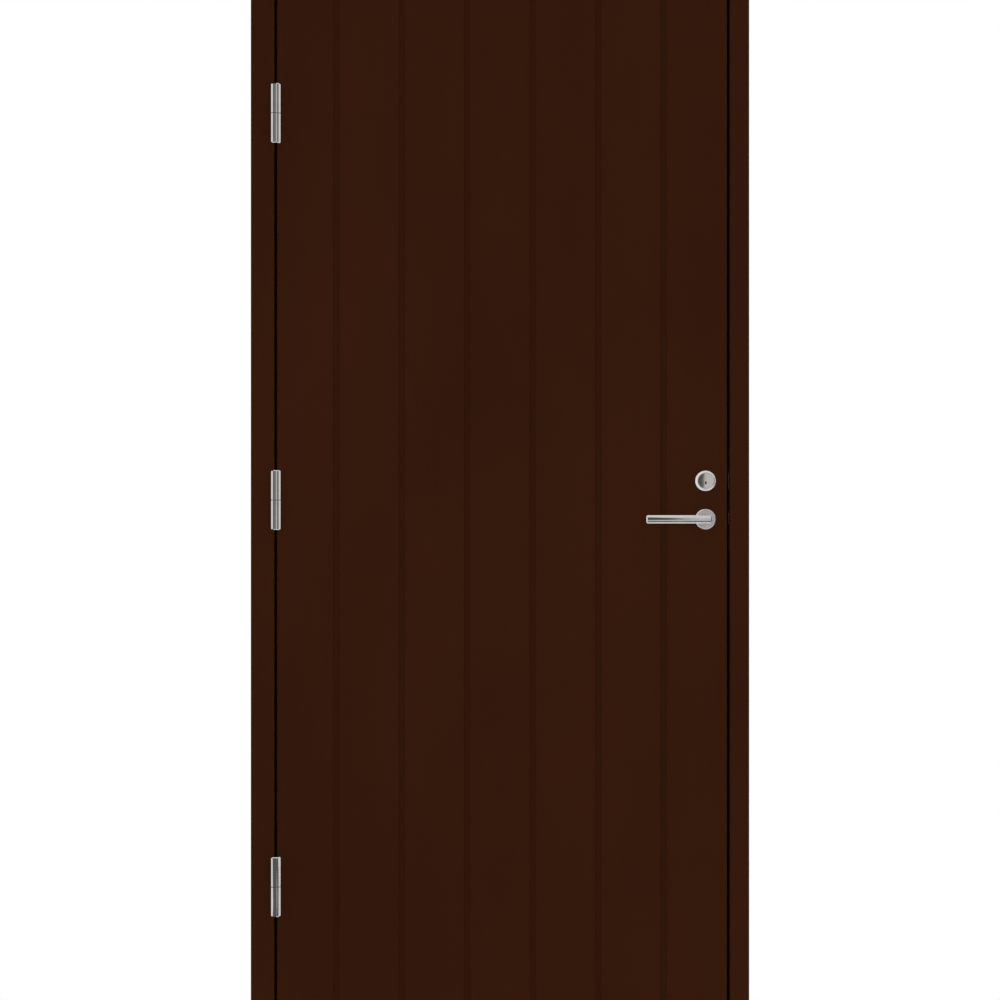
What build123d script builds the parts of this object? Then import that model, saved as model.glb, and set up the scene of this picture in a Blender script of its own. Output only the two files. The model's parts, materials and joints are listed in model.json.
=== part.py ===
from build123d import *
import os

# A left-hung shed door that opens outwards, in its timber frame.
# X runs from the hinge side to the lock side, Y from outside to inside and Z up, in millimetres.
# The origin is under the threshold, at the middle of the frame's width and depth.

# Frame
frame_width = 990
frame_height = 2090
frame_depth = 105
hinge_jamb_face = 47
lock_jamb_face = 39
head_face = 40
stop_step = 16
frame_arris = 2

# Clearance holes for the screws that hold the jambs to the wall
fixing_diameter = 14
fixing_from_end = 215
fixing_middle_spacing = 560

# Threshold and the wear strip on it
threshold_front = 20
threshold_fall = 6
strip_inset = 4
strip_width = 40
strip_thickness = 3
strip_rib_pitch = 7
strip_rib_depth = 0.8

# Leaf
leaf_thickness = 40
leaf_gap = 5.2
leaf_floor_gap = 7
leaf_arris = 1.5
lock_edge_bevel = 2.5
skin_thickness = 6
hinge_stile_width = 70
rail_height = 100
groove_pitch = 130
groove_count = 6
groove_width = 13
groove_depth = 3.5

# Seals on the stops
seal_space = 8
seal_width = 8
seal_inset = 5
seal_clearance = 0.5

# Lift-off hinges
hinge_from_end = 279.5
barrel_diameter = 20
barrel_length = 118
barrel_stand_off = 1.5
axis_from_leaf_edge = 1.8
barrel_chamfer = 1.5
pin_diameter = 11
pin_reach = 42
pin_clearance = 0.05
washer_thickness = 1.5
washer_diameter = 19
washer_clearance = 0.3
blade_thickness = 3
blade_end_wood = 4
blade_inset = 3
blade_corner = 8
mortise_clearance = 0.2

# Lock and its case
backset = 43
handle_z = 1007
lock_spacing = 76
forend_side_wood = 3
forend_height = 200
forend_thickness = 3
forend_corner = 5
lock_case_height = 165
lock_case_depth = 66
lock_case_thickness = 16
lock_stile_wall = 30
case_clearance = 0.3
bolt_thickness = 10
latch_height = 18
dead_bolt_height = 28
bolt_depth = 22
latch_slope = 4
strike_width = 26
strike_thickness = 2.5
strike_pocket_depth = 16
strike_margin = 3

# Roses, cylinder and handles
rose_diameter = 40
rose_height = 8
rose_bevel = 1.2
ring_height = 12
ring_wall = 7.5
ring_lip = 0.8
cylinder_diameter = 31
cylinder_recess = 0.8
cylinder_dome = 0.3
plug_diameter = 16
plug_drop = 4
plug_depth = 18
keyhole_width = 3
keyhole_height = 5.5
keyhole_depth = 12
fit_clearance = 0.3
lever_diameter = 16
lever_reach = 45
lever_length = 119.5
lever_end_bevel = 1.5
neck_diameter = 14
neck_clearance = 0.5
spindle_size = 8
spindle_clearance = 1.5
turn_shaft_diameter = 11
turn_height = 24
turn_width = 32
turn_thickness = 11

# Planes and edges that the pieces share
hinge_side_x = -frame_width / 2
lock_side_x = frame_width / 2
hinge_rebate_x = hinge_side_x + hinge_jamb_face
lock_rebate_x = lock_side_x - lock_jamb_face
hinge_stop_x = hinge_rebate_x + stop_step
lock_stop_x = lock_rebate_x - stop_step
front_y = -frame_depth / 2
back_y = frame_depth / 2
leaf_back_y = front_y + leaf_thickness
leaf_middle_y = front_y + leaf_thickness / 2
stop_y = leaf_back_y + seal_space
fixing_y = (stop_y + back_y) / 2
fixing_zs = [
    fixing_from_end,
    (frame_height - fixing_middle_spacing) / 2,
    (frame_height + fixing_middle_spacing) / 2,
    frame_height - fixing_from_end,
]
sill_z = threshold_front + threshold_fall
upstand_z = sill_z + stop_step
head_rebate_z = frame_height - head_face
head_stop_z = head_rebate_z - stop_step

leaf_hinge_x = hinge_rebate_x + leaf_gap
leaf_lock_x = lock_rebate_x - leaf_gap
leaf_bottom_z = sill_z + leaf_floor_gap
leaf_top_z = head_rebate_z - leaf_gap
leaf_height = leaf_top_z - leaf_bottom_z
stile_front_y = front_y + skin_thickness
stile_back_y = leaf_back_y - skin_thickness
stile_thickness = stile_back_y - stile_front_y
groove_radius = (groove_width**2 / 4 + groove_depth**2) / (2 * groove_depth)

barrel_radius = barrel_diameter / 2
axis_x = leaf_hinge_x - axis_from_leaf_edge
axis_y = front_y - barrel_radius - barrel_stand_off
hinge_zs = [frame_height - hinge_from_end, frame_height / 2, hinge_from_end]
split_height = washer_thickness + washer_clearance
knuckle_length = (barrel_length - split_height) / 2
blade_depth = leaf_thickness - skin_thickness - blade_end_wood
blade_height = knuckle_length - 2 * blade_inset
blade_offset_z = (split_height + knuckle_length) / 2
pin_bore_depth = pin_reach + washer_thickness

lock_x = leaf_lock_x - backset
lock_z = handle_z + lock_spacing
case_z = handle_z + lock_spacing / 2
case_front_y = leaf_middle_y - lock_case_thickness / 2
case_back_y = leaf_middle_y + lock_case_thickness / 2
forend_width = stile_thickness - 2 * forend_side_wood
spindle_hole = spindle_size * 2**0.5 + 2 * spindle_clearance
seal_height = seal_space - seal_clearance
strike_height = forend_height + 2 * strike_margin

outside_face = Plane.XZ.offset(-front_y)
leaf_middle = Plane.XZ.offset(-leaf_middle_y)


def lock_edge_x(y):
    """The leaf's bevelled lock edge at depth y."""
    return leaf_lock_x - lock_edge_bevel * (y - front_y) / leaf_thickness


case_front_x = lock_edge_x(leaf_middle_y) - forend_thickness / 2
case_end_x = case_front_x - lock_case_depth
lock_stile_x = case_end_x - lock_stile_wall
lock_edge = Plane(
    origin=(lock_edge_x(leaf_middle_y), leaf_middle_y, case_z),
    x_dir=(-lock_edge_bevel, leaf_thickness, 0),
    z_dir=(leaf_thickness, lock_edge_bevel, 0),
)


def jamb_plan(outer_x, rebate_x, stop_x):
    """A jamb from above: its face beside the leaf and the stop behind the leaf."""
    with BuildSketch() as plan:
        with BuildLine():
            Polyline(
                (outer_x, front_y),
                (rebate_x, front_y),
                (rebate_x, stop_y),
                (stop_x, stop_y),
                (stop_x, back_y),
                (outer_x, back_y),
                close=True,
            )
        make_face()
        fillet(plan.vertices().group_by(Axis.Y)[0], frame_arris)
        fillet(plan.vertices().filter_by_position(Axis.X, stop_x - 0.1, stop_x + 0.1), frame_arris)
    return plan.sketch


def opening_plan():
    """The space between the jambs from above, which the head and the threshold fill."""
    with BuildSketch() as plan:
        with BuildLine():
            Polyline(
                (hinge_rebate_x, front_y),
                (lock_rebate_x, front_y),
                (lock_rebate_x, stop_y),
                (lock_stop_x, stop_y),
                (lock_stop_x, back_y),
                (hinge_stop_x, back_y),
                (hinge_stop_x, stop_y),
                (hinge_rebate_x, stop_y),
                close=True,
            )
        make_face()
    return plan.sketch


def leaf_plan(y_front, y_back, x_start):
    """A layer of the leaf from above, out to the bevelled lock edge."""
    with BuildSketch() as plan:
        with BuildLine():
            Polyline(
                (x_start, y_front),
                (lock_edge_x(y_front), y_front),
                (lock_edge_x(y_back), y_back),
                (x_start, y_back),
                close=True,
            )
        make_face()
    return plan.sketch


def blade_outline(centre_z, grow):
    """A hinge blade from the side, with rounded inner corners; grow makes it a mortise."""
    length = front_y + blade_depth + grow - axis_y
    with BuildSketch() as outline:
        with Locations((axis_y + length / 2, centre_z)):
            Rectangle(length, blade_height + 2 * grow)
        fillet(outline.vertices().group_by(Axis.X)[-1], blade_corner + grow)
    return outline.sketch


def seal_profile():
    """A seal's section: flat on the stop at y = 0, round towards the leaf."""
    with BuildSketch() as profile:
        with Locations((0, -seal_height / 2)):
            Rectangle(seal_width, seal_height)
        fillet(profile.vertices().group_by(Axis.Y)[0], 0.45 * min(seal_width, seal_height))
    return profile.sketch


def bolts_outline(grow):
    """The latch and the dead bolt on the lock edge; grow makes them openings."""
    with BuildSketch() as outline:
        with Locations((0, handle_z - case_z)):
            Rectangle(bolt_thickness + 2 * grow, latch_height + 2 * grow)
        with Locations((0, lock_z - case_z)):
            Rectangle(bolt_thickness + 2 * grow, dead_bolt_height + 2 * grow)
    return outline.sketch


# Frame

with BuildPart() as hinge_jamb:
    with BuildSketch():
        add(jamb_plan(hinge_side_x, hinge_rebate_x, hinge_stop_x))
    extrude(amount=frame_height)
    with BuildSketch(Plane.YZ.offset(hinge_rebate_x)):
        for z in hinge_zs:
            add(blade_outline(z - blade_offset_z, mortise_clearance))
    extrude(amount=-blade_thickness, mode=Mode.SUBTRACT)
    with BuildSketch(Plane.YZ.offset(hinge_side_x)):
        with Locations(*[(fixing_y, z) for z in fixing_zs]):
            Circle(fixing_diameter / 2)
    extrude(amount=hinge_jamb_face + stop_step, mode=Mode.SUBTRACT)
hinge_jamb.part.label = "hinge_jamb"

with BuildPart() as lock_jamb:
    with BuildSketch():
        add(jamb_plan(lock_side_x, lock_rebate_x, lock_stop_x))
    extrude(amount=frame_height)
    with BuildSketch(Plane.YZ.offset(lock_rebate_x)):
        with Locations((leaf_middle_y, case_z)):
            RectangleRounded(strike_width, strike_height, forend_corner)
    extrude(amount=strike_thickness, mode=Mode.SUBTRACT)
    with BuildSketch(Plane.YZ.offset(lock_rebate_x)):
        with Locations((leaf_middle_y, case_z)):
            add(bolts_outline(strike_margin))
    extrude(amount=strike_pocket_depth, mode=Mode.SUBTRACT)
    with BuildSketch(Plane.YZ.offset(lock_stop_x)):
        with Locations(*[(fixing_y, z) for z in fixing_zs]):
            Circle(fixing_diameter / 2)
    extrude(amount=lock_jamb_face + stop_step, mode=Mode.SUBTRACT)
lock_jamb.part.label = "lock_jamb"

with BuildPart() as head_jamb:
    with BuildSketch(Plane.YZ.offset(hinge_rebate_x)) as head_profile:
        with BuildLine():
            Polyline(
                (front_y, head_rebate_z),
                (front_y, frame_height),
                (back_y, frame_height),
                (back_y, head_stop_z),
                (stop_y, head_stop_z),
                (stop_y, head_rebate_z),
                close=True,
            )
        make_face()
        fillet(head_profile.vertices().group_by(Axis.X)[0], frame_arris)
        fillet(head_profile.vertices().group_by(Axis.Y)[0], frame_arris)
    extrude(amount=lock_rebate_x - hinge_rebate_x)
    with BuildSketch():
        add(opening_plan())
    extrude(amount=frame_height, mode=Mode.INTERSECT)
head_jamb.part.label = "head_jamb"

with BuildPart() as threshold:
    with BuildSketch(Plane.YZ.offset(hinge_rebate_x)) as threshold_profile:
        with BuildLine():
            Polyline(
                (front_y, 0),
                (front_y, threshold_front),
                (stop_y, sill_z),
                (stop_y, upstand_z),
                (back_y, upstand_z),
                (back_y, 0),
                close=True,
            )
        make_face()
        fillet(threshold_profile.vertices().group_by(Axis.Y)[-1], frame_arris)
        fillet(threshold_profile.vertices().group_by(Axis.X)[0].sort_by(Axis.Y)[-1], frame_arris)
    extrude(amount=lock_rebate_x - hinge_rebate_x)
    with BuildSketch():
        add(opening_plan())
    extrude(amount=frame_height, mode=Mode.INTERSECT)
threshold.part.label = "threshold"

with BuildPart() as threshold_strip:
    with BuildSketch(Plane.YZ.offset(hinge_stop_x)) as strip_profile:
        with Locations((stop_y + strip_inset + strip_width / 2, upstand_z + strip_thickness / 2)):
            Rectangle(strip_width, strip_thickness)
        fillet(strip_profile.vertices().group_by(Axis.Y)[-1], strip_thickness / 2)
        with Locations((stop_y + strip_inset + strip_width / 2, upstand_z + strip_thickness)):
            with GridLocations(strip_rib_pitch, 1, 5, 1):
                Rectangle(strip_rib_pitch / 3, 2 * strip_rib_depth, mode=Mode.SUBTRACT)
    extrude(amount=lock_stop_x - hinge_stop_x)
threshold_strip.part.label = "threshold_strip"

seal_middle = seal_inset + seal_width / 2
with BuildPart() as hinge_side_seal:
    with BuildSketch(Plane.XY.offset(sill_z)):
        with Locations((hinge_rebate_x + seal_middle, stop_y)):
            add(seal_profile())
    extrude(amount=head_rebate_z - sill_z)
hinge_side_seal.part.label = "hinge_side_seal"

with BuildPart() as lock_side_seal:
    with BuildSketch(Plane.XY.offset(sill_z)):
        with Locations((lock_rebate_x - seal_middle, stop_y)):
            add(seal_profile())
    extrude(amount=head_rebate_z - sill_z)
lock_side_seal.part.label = "lock_side_seal"

seal_start_x = hinge_rebate_x + seal_inset + seal_width
seal_run = lock_rebate_x - seal_inset - seal_width - seal_start_x
with BuildPart() as head_seal:
    with BuildSketch(Plane.YZ.offset(seal_start_x)):
        with Locations(Location((stop_y, head_rebate_z - seal_middle), -90)):
            add(seal_profile())
    extrude(amount=seal_run)
head_seal.part.label = "head_seal"

with BuildPart() as threshold_seal:
    with BuildSketch(Plane.YZ.offset(seal_start_x)):
        with Locations(Location((stop_y, sill_z + seal_middle), -90)):
            add(seal_profile())
    extrude(amount=seal_run)
threshold_seal.part.label = "threshold_seal"

with BuildPart() as strike_plate:
    with BuildSketch(Plane.YZ.offset(lock_rebate_x)):
        with Locations((leaf_middle_y, case_z)):
            RectangleRounded(strike_width, strike_height, forend_corner)
            add(bolts_outline(strike_margin), mode=Mode.SUBTRACT)
    extrude(amount=strike_thickness)
strike_plate.part.label = "strike_plate"

# Leaf

with BuildPart() as outer_skin:
    with BuildSketch(Plane.XY.offset(leaf_bottom_z)) as skin_plan:
        add(leaf_plan(front_y, stile_front_y, leaf_hinge_x))
        fillet(skin_plan.vertices().group_by(Axis.Y)[0], leaf_arris)
        with Locations((0, front_y + groove_depth - groove_radius)):
            with GridLocations(groove_pitch, 1, groove_count, 1):
                Circle(groove_radius, mode=Mode.SUBTRACT)
    extrude(amount=leaf_height)
    with BuildSketch(Plane.YZ.offset(leaf_hinge_x)):
        for z in hinge_zs:
            add(blade_outline(z + blade_offset_z, mortise_clearance))
    extrude(amount=blade_thickness, mode=Mode.SUBTRACT)
    with BuildSketch(outside_face):
        with Locations((lock_x, lock_z)):
            Circle(cylinder_diameter / 2 + fit_clearance)
        with Locations((lock_x, handle_z)):
            Circle(spindle_hole / 2)
    extrude(amount=-skin_thickness, mode=Mode.SUBTRACT)
outer_skin.part.label = "outer_skin"

with BuildPart() as inner_skin:
    with BuildSketch(Plane.XY.offset(leaf_bottom_z)) as inner_plan:
        add(leaf_plan(stile_back_y, leaf_back_y, leaf_hinge_x))
        fillet(inner_plan.vertices().group_by(Axis.Y)[-1], leaf_arris)
        with Locations((0, leaf_back_y - groove_depth + groove_radius)):
            with GridLocations(groove_pitch, 1, groove_count, 1):
                Circle(groove_radius, mode=Mode.SUBTRACT)
    extrude(amount=leaf_height)
    with BuildSketch(Plane.XZ.offset(-stile_back_y)):
        with Locations((lock_x, lock_z)):
            Circle(turn_shaft_diameter / 2 + fit_clearance)
        with Locations((lock_x, handle_z)):
            Circle(spindle_hole / 2)
    extrude(amount=-skin_thickness, mode=Mode.SUBTRACT)
inner_skin.part.label = "inner_skin"

with BuildPart() as hinge_stile:
    with BuildSketch(Plane.XY.offset(leaf_bottom_z)):
        with Locations((leaf_hinge_x + hinge_stile_width / 2, leaf_middle_y)):
            Rectangle(hinge_stile_width, stile_thickness)
    extrude(amount=leaf_height)
    with BuildSketch(Plane.YZ.offset(leaf_hinge_x)):
        for z in hinge_zs:
            add(blade_outline(z + blade_offset_z, mortise_clearance))
    extrude(amount=blade_thickness, mode=Mode.SUBTRACT)
hinge_stile.part.label = "hinge_stile"

with BuildPart() as lock_stile:
    with BuildSketch(Plane.XY.offset(leaf_bottom_z)):
        add(leaf_plan(stile_front_y, stile_back_y, lock_stile_x))
    extrude(amount=leaf_height)
    with BuildSketch(lock_edge):
        RectangleRounded(
            forend_width + 2 * mortise_clearance,
            forend_height + 2 * mortise_clearance,
            forend_corner + mortise_clearance,
        )
    extrude(amount=forend_thickness, both=True, mode=Mode.SUBTRACT)
    with BuildSketch(Plane.YZ.offset(case_end_x - case_clearance)):
        with Locations((leaf_middle_y, case_z)):
            Rectangle(lock_case_thickness + 2 * case_clearance, lock_case_height + 2 * case_clearance)
    extrude(amount=lock_case_depth + case_clearance, mode=Mode.SUBTRACT)
    with BuildSketch(Plane.XZ.offset(-stile_front_y)):
        with Locations((lock_x, lock_z)):
            Circle(cylinder_diameter / 2 + fit_clearance)
    extrude(amount=-(case_front_y - stile_front_y), mode=Mode.SUBTRACT)
    with BuildSketch(Plane.XZ.offset(-stile_back_y)):
        with Locations((lock_x, lock_z)):
            Circle(turn_shaft_diameter / 2 + fit_clearance)
    extrude(amount=stile_back_y - case_back_y, mode=Mode.SUBTRACT)
    with BuildSketch(Plane.XZ.offset(-stile_front_y)):
        with Locations((lock_x, handle_z)):
            Circle(spindle_hole / 2)
    extrude(amount=-stile_thickness, mode=Mode.SUBTRACT)
lock_stile.part.label = "lock_stile"

rail_start_x = leaf_hinge_x + hinge_stile_width
rail_middle = ((rail_start_x + lock_stile_x) / 2, leaf_middle_y)
rail_run = lock_stile_x - rail_start_x
with BuildPart() as bottom_rail:
    with BuildSketch(Plane.XY.offset(leaf_bottom_z)):
        with Locations(rail_middle):
            Rectangle(rail_run, stile_thickness)
    extrude(amount=rail_height)
bottom_rail.part.label = "bottom_rail"

with BuildPart() as top_rail:
    with BuildSketch(Plane.XY.offset(leaf_top_z - rail_height)):
        with Locations(rail_middle):
            Rectangle(rail_run, stile_thickness)
    extrude(amount=rail_height)
top_rail.part.label = "top_rail"

with BuildPart() as leaf_core:
    with BuildSketch(Plane.XY.offset(leaf_bottom_z + rail_height)):
        with Locations(rail_middle):
            Rectangle(rail_run, stile_thickness)
    extrude(amount=leaf_height - 2 * rail_height)
leaf_core.part.label = "leaf_core"

# Lift-off hinges: the upper knuckle is bored and drops over the pin of the lower one


def hinge_leaf_half(centre_z):
    """The upper knuckle, blind bored from below, with the blade let into the leaf's edge."""
    with BuildPart() as half:
        with BuildSketch(Plane.XY.offset(centre_z + split_height / 2)):
            with Locations((axis_x, axis_y)):
                Circle(barrel_radius)
        extrude(amount=knuckle_length)
        chamfer(half.edges().group_by(Axis.Z)[-1], barrel_chamfer)
        with BuildSketch(Plane.YZ.offset(leaf_hinge_x)):
            add(blade_outline(centre_z + blade_offset_z, 0))
        extrude(amount=blade_thickness)
        with BuildSketch(Plane.XY.offset(centre_z + split_height / 2)):
            with Locations((axis_x, axis_y)):
                Circle(pin_diameter / 2 + pin_clearance)
        extrude(amount=pin_bore_depth, mode=Mode.SUBTRACT)
    return half.part


def hinge_frame_half(centre_z):
    """The lower knuckle with its upright pin and the blade let into the hinge jamb."""
    with BuildPart() as half:
        with BuildSketch(Plane.XY.offset(centre_z - split_height / 2)):
            with Locations((axis_x, axis_y)):
                Circle(barrel_radius)
        extrude(amount=-knuckle_length)
        chamfer(half.edges().group_by(Axis.Z)[0], barrel_chamfer)
        with BuildSketch(Plane.YZ.offset(hinge_rebate_x)):
            add(blade_outline(centre_z - blade_offset_z, 0))
        extrude(amount=-blade_thickness)
        with BuildSketch(Plane.XY.offset(centre_z - split_height / 2)):
            with Locations((axis_x, axis_y)):
                Circle(pin_diameter / 2)
        extrude(amount=split_height + pin_reach)
        chamfer(half.edges().group_by(Axis.Z)[-1], barrel_chamfer)
    return half.part


top_leaf_half, middle_leaf_half, bottom_leaf_half = [hinge_leaf_half(z) for z in hinge_zs]
top_leaf_half.label = "top_hinge_leaf_half"
middle_leaf_half.label = "middle_hinge_leaf_half"
bottom_leaf_half.label = "bottom_hinge_leaf_half"

top_frame_half, middle_frame_half, bottom_frame_half = [hinge_frame_half(z) for z in hinge_zs]
top_frame_half.label = "top_hinge_frame_half"
middle_frame_half.label = "middle_hinge_frame_half"
bottom_frame_half.label = "bottom_hinge_frame_half"

with BuildPart() as hinge_washers:
    for z in hinge_zs:
        with BuildSketch(Plane.XY.offset(z - split_height / 2)):
            with Locations((axis_x, axis_y)):
                Circle(washer_diameter / 2)
                Circle(pin_diameter / 2 + pin_clearance, mode=Mode.SUBTRACT)
        extrude(amount=washer_thickness)
hinge_washers.part.label = "hinge_washers"

# Lock

with BuildPart() as mortise_lock:
    with BuildSketch(lock_edge):
        RectangleRounded(forend_width, forend_height, forend_corner)
    extrude(amount=-forend_thickness)
    with BuildSketch(Plane.YZ.offset(case_end_x)):
        with Locations((leaf_middle_y, case_z)):
            Rectangle(lock_case_thickness, lock_case_height)
    extrude(amount=lock_case_depth)
    with BuildSketch(lock_edge):
        add(bolts_outline(case_clearance))
    extrude(amount=-bolt_depth, mode=Mode.SUBTRACT)
    with BuildSketch(Plane.XZ.offset(-case_front_y)):
        with Locations((lock_x, handle_z)):
            Circle(spindle_hole / 2)
    extrude(amount=-lock_case_thickness, mode=Mode.SUBTRACT)
mortise_lock.part.label = "mortise_lock"

with BuildPart() as lock_bolts:
    with BuildSketch(lock_edge):
        add(bolts_outline(0))
    extrude(amount=-bolt_depth)
    latch_nose = lock_bolts.solids().sort_by(Axis.Z)[0].faces().sort_by(Axis.X)[-1]
    chamfer(latch_nose.edges().sort_by(Axis.Y)[0], latch_slope)
lock_bolts.part.label = "lock_bolts"

ring_bore = cylinder_diameter / 2 + fit_clearance
with BuildPart() as cylinder_ring:
    with BuildSketch(Plane.XY.offset(lock_z)):
        with BuildLine():
            Polyline(
                (lock_x + ring_bore, front_y),
                (lock_x + rose_diameter / 2, front_y),
                (lock_x + rose_diameter / 2, front_y - ring_wall),
                (lock_x + ring_bore + ring_lip, front_y - ring_height),
                (lock_x + ring_bore, front_y - ring_height),
                close=True,
            )
        make_face()
    revolve(axis=Axis((lock_x, front_y, lock_z), (0, 1, 0)))
cylinder_ring.part.label = "cylinder_ring"

cylinder_face = outside_face.offset(ring_height - cylinder_recess)
dome_radius = (cylinder_diameter**2 / 4 + cylinder_dome**2) / (2 * cylinder_dome)
dome_centre = (lock_x, front_y - ring_height + cylinder_recess + dome_radius, lock_z)
with BuildPart() as lock_cylinder:
    with BuildSketch(cylinder_face):
        with Locations((lock_x, lock_z)):
            Circle(cylinder_diameter / 2)
    extrude(amount=-(ring_height - cylinder_recess + case_front_y - front_y))
    with BuildSketch(cylinder_face):
        with Locations((lock_x, lock_z - plug_drop)):
            Circle(plug_diameter / 2 + fit_clearance)
    extrude(amount=-plug_depth, mode=Mode.SUBTRACT)
    with Locations(dome_centre):
        Sphere(dome_radius, mode=Mode.INTERSECT)
lock_cylinder.part.label = "lock_cylinder"

with BuildPart() as cylinder_plug:
    with BuildSketch(cylinder_face):
        with Locations((lock_x, lock_z - plug_drop)):
            Circle(plug_diameter / 2)
    extrude(amount=-plug_depth)
    with BuildSketch(cylinder_face):
        with Locations((lock_x, lock_z - plug_drop)):
            Rectangle(keyhole_width, keyhole_height)
    extrude(amount=-keyhole_depth, mode=Mode.SUBTRACT)
    with Locations(dome_centre):
        Sphere(dome_radius, mode=Mode.INTERSECT)
cylinder_plug.part.label = "cylinder_plug"

inside_face = Plane.XZ.offset(-leaf_back_y)
with BuildPart() as thumb_turn_rose:
    with BuildSketch(inside_face):
        with Locations((lock_x, lock_z)):
            Circle(rose_diameter / 2)
            Circle(turn_shaft_diameter / 2 + fit_clearance, mode=Mode.SUBTRACT)
    extrude(amount=-rose_height)
    chamfer(thumb_turn_rose.edges().group_by(Axis.Y)[-1].sort_by(SortBy.LENGTH)[-1], rose_bevel)
thumb_turn_rose.part.label = "thumb_turn_rose"

turn_back = Plane.XZ.offset(-(leaf_back_y + rose_height + fit_clearance))
with BuildPart() as thumb_turn:
    with BuildSketch(turn_back):
        with Locations((lock_x, lock_z)):
            SlotOverall(turn_width, turn_thickness, rotation=90)
    extrude(amount=-turn_height)
    chamfer(thumb_turn.faces().sort_by(Axis.Y)[-1].edges(), turn_thickness / 8)
    with BuildSketch(turn_back):
        with Locations((lock_x, lock_z)):
            Circle(turn_shaft_diameter / 2)
    extrude(amount=leaf_back_y + rose_height + fit_clearance - case_back_y)
thumb_turn.part.label = "thumb_turn"

# Handles

with BuildPart() as outside_rose:
    with BuildSketch(outside_face):
        with Locations((lock_x, handle_z)):
            Circle(rose_diameter / 2)
            Circle(neck_diameter / 2 + fit_clearance, mode=Mode.SUBTRACT)
    extrude(amount=rose_height)
    chamfer(outside_rose.edges().group_by(Axis.Y)[0].sort_by(SortBy.LENGTH)[-1], rose_bevel)
outside_rose.part.label = "outside_rose"

with BuildPart() as inside_rose:
    mirror(outside_rose.part, about=leaf_middle)
inside_rose.part.label = "inside_rose"

neck_y = front_y - neck_clearance
bar_y = front_y - lever_reach
with BuildPart() as outside_lever:
    with BuildSketch(Plane.YZ.offset(lock_x - lever_length)):
        with Locations((bar_y, handle_z)):
            Circle(lever_diameter / 2)
    extrude(amount=lever_length + lever_diameter / 2)
    chamfer(outside_lever.edges().filter_by(GeomType.CIRCLE), lever_end_bevel)
    with BuildSketch(Plane.XZ.offset(-neck_y)):
        with Locations((lock_x, handle_z)):
            Circle(neck_diameter / 2)
    extrude(amount=neck_y - bar_y)
outside_lever.part.label = "outside_lever"

with BuildPart() as inside_lever:
    mirror(outside_lever.part, about=leaf_middle)
inside_lever.part.label = "inside_lever"

with BuildPart() as spindle:
    with BuildSketch(Plane.XZ.offset(-neck_y)):
        with Locations((lock_x, handle_z)):
            Rectangle(spindle_size, spindle_size)
    extrude(amount=-(leaf_thickness + 2 * neck_clearance))
spindle.part.label = "spindle"

os.makedirs("parts", exist_ok=True)
export_step(hinge_jamb.part, "parts/hinge_jamb.step")
export_step(lock_jamb.part, "parts/lock_jamb.step")
export_step(head_jamb.part, "parts/head_jamb.step")
export_step(threshold.part, "parts/threshold.step")
export_step(threshold_strip.part, "parts/threshold_strip.step")
export_step(hinge_side_seal.part, "parts/hinge_side_seal.step")
export_step(lock_side_seal.part, "parts/lock_side_seal.step")
export_step(head_seal.part, "parts/head_seal.step")
export_step(threshold_seal.part, "parts/threshold_seal.step")
export_step(strike_plate.part, "parts/strike_plate.step")
export_step(outer_skin.part, "parts/outer_skin.step")
export_step(inner_skin.part, "parts/inner_skin.step")
export_step(hinge_stile.part, "parts/hinge_stile.step")
export_step(lock_stile.part, "parts/lock_stile.step")
export_step(bottom_rail.part, "parts/bottom_rail.step")
export_step(top_rail.part, "parts/top_rail.step")
export_step(leaf_core.part, "parts/leaf_core.step")
export_step(top_leaf_half, "parts/top_hinge_leaf_half.step")
export_step(middle_leaf_half, "parts/middle_hinge_leaf_half.step")
export_step(bottom_leaf_half, "parts/bottom_hinge_leaf_half.step")
export_step(top_frame_half, "parts/top_hinge_frame_half.step")
export_step(middle_frame_half, "parts/middle_hinge_frame_half.step")
export_step(bottom_frame_half, "parts/bottom_hinge_frame_half.step")
export_step(hinge_washers.part, "parts/hinge_washers.step")
export_step(mortise_lock.part, "parts/mortise_lock.step")
export_step(lock_bolts.part, "parts/lock_bolts.step")
export_step(cylinder_ring.part, "parts/cylinder_ring.step")
export_step(lock_cylinder.part, "parts/lock_cylinder.step")
export_step(cylinder_plug.part, "parts/cylinder_plug.step")
export_step(thumb_turn_rose.part, "parts/thumb_turn_rose.step")
export_step(thumb_turn.part, "parts/thumb_turn.step")
export_step(outside_rose.part, "parts/outside_rose.step")
export_step(inside_rose.part, "parts/inside_rose.step")
export_step(outside_lever.part, "parts/outside_lever.step")
export_step(inside_lever.part, "parts/inside_lever.step")
export_step(spindle.part, "parts/spindle.step")
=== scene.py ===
# %% [markdown]
# # A brown shed door, dressed
# The door comes in as solids that already have their true sizes: a grooved leaf, its frame,
# lift-off hinges, a lock and lever handles. This lesson gives each of them its finish and adds
# what is too small or too soft for the solids: gaskets, screws, cover plugs and a finer lock face.

# %% Load the door
import json
import math

import bmesh
import bpy
from mathutils import Matrix, Vector


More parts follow.
